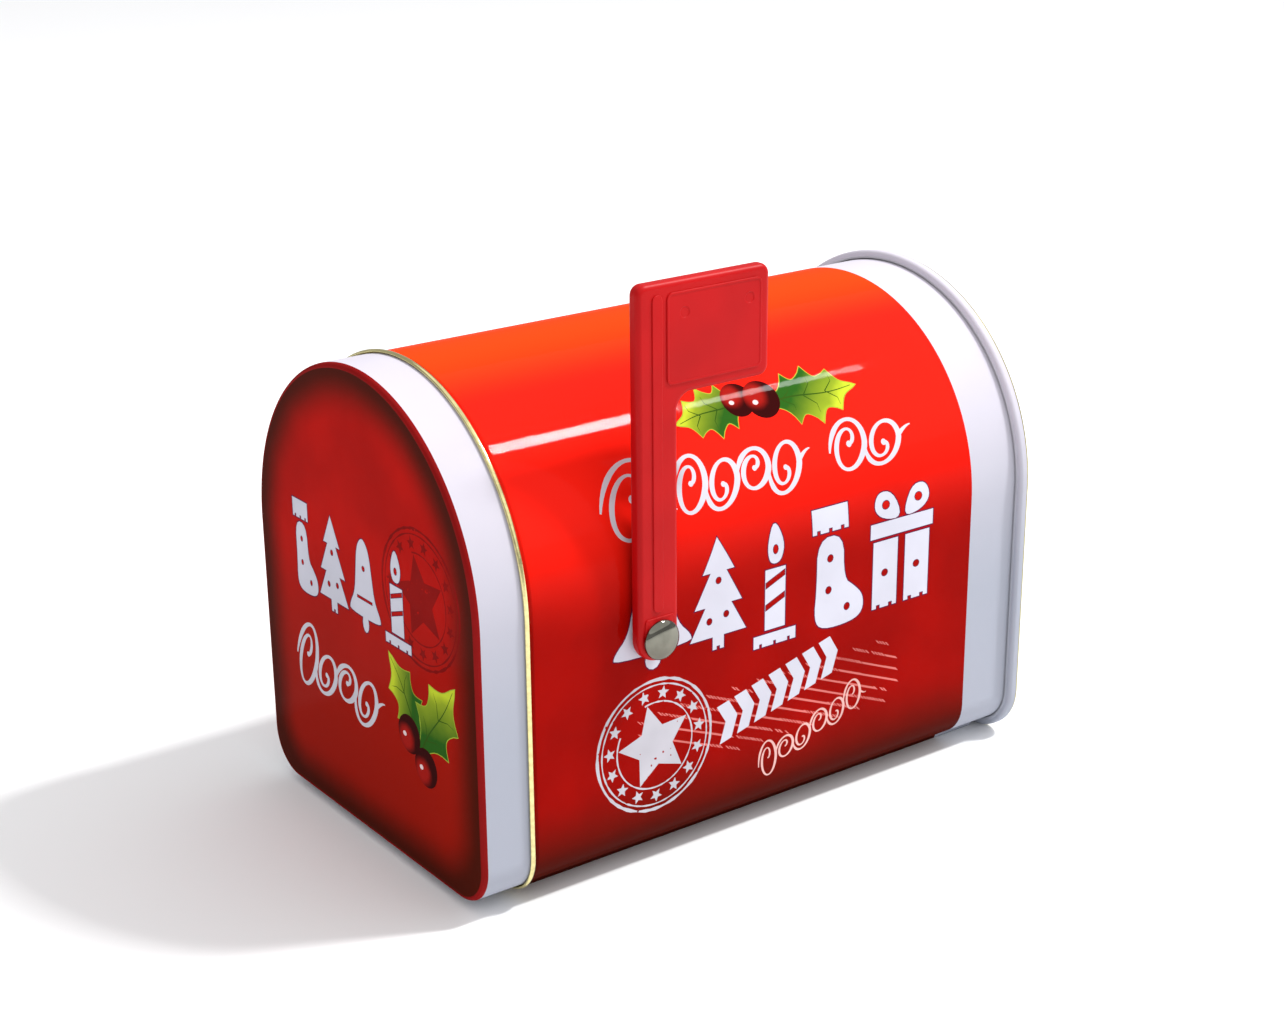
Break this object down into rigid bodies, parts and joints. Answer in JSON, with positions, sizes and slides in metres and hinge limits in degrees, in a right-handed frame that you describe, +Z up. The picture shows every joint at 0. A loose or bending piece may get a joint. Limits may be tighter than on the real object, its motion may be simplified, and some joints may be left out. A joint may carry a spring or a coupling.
{
  "type": "tin money box",
  "caption": "Arched tinplate money box like a letter box on its side, with a slip-on front lid, a coin slot across the crown and a turning flag on one side.",
  "frame": {"origin": "on the table plane, under the centre of the box that holds the whole object, flag and rivet included", "axes": "+Z up; -Y out of the lid's face, so +Y towards the rear seam; +X out of the side that carries the flag"},
  "size_m": [0.1094, 0.167, 0.1434],
  "materials": {
    "printed_body": "gloss lacquer over red and white print on tinplate",
    "white_end": "gloss white lacquer with a bare gold edge",
    "printed_lid": "gloss lacquer over dark-edged red print, white skirt, gold rolled edge",
    "flag_plastic": "satin moulded plastic",
    "rivet_chrome": "mirror plated",
    "washer_zinc": "zinc plated"
  },
  "bodies": {
    "tin": {"body_shell": "printed_body", "rear_panel": "white_end", "rivet_cap": "rivet_chrome", "rivet_back_cap": "rivet_chrome", "rivet_washer": "washer_zinc"},
    "lid": {"front_lid": "printed_lid"},
    "flag": {"flag": "flag_plastic"}
  },
  "joints": [
    {"name": "lid_slide", "type": "slide", "parent": "tin", "child": "lid", "axis": [0, -1, 0], "range_m": [0, 0.06]},
    {"name": "flag_pivot", "type": "hinge", "parent": "tin", "child": "flag", "pos_m": [0.04775, -0.037, 0.0604], "axis": [1, 0, 0], "range_deg": [-110, 50]}
  ]
}
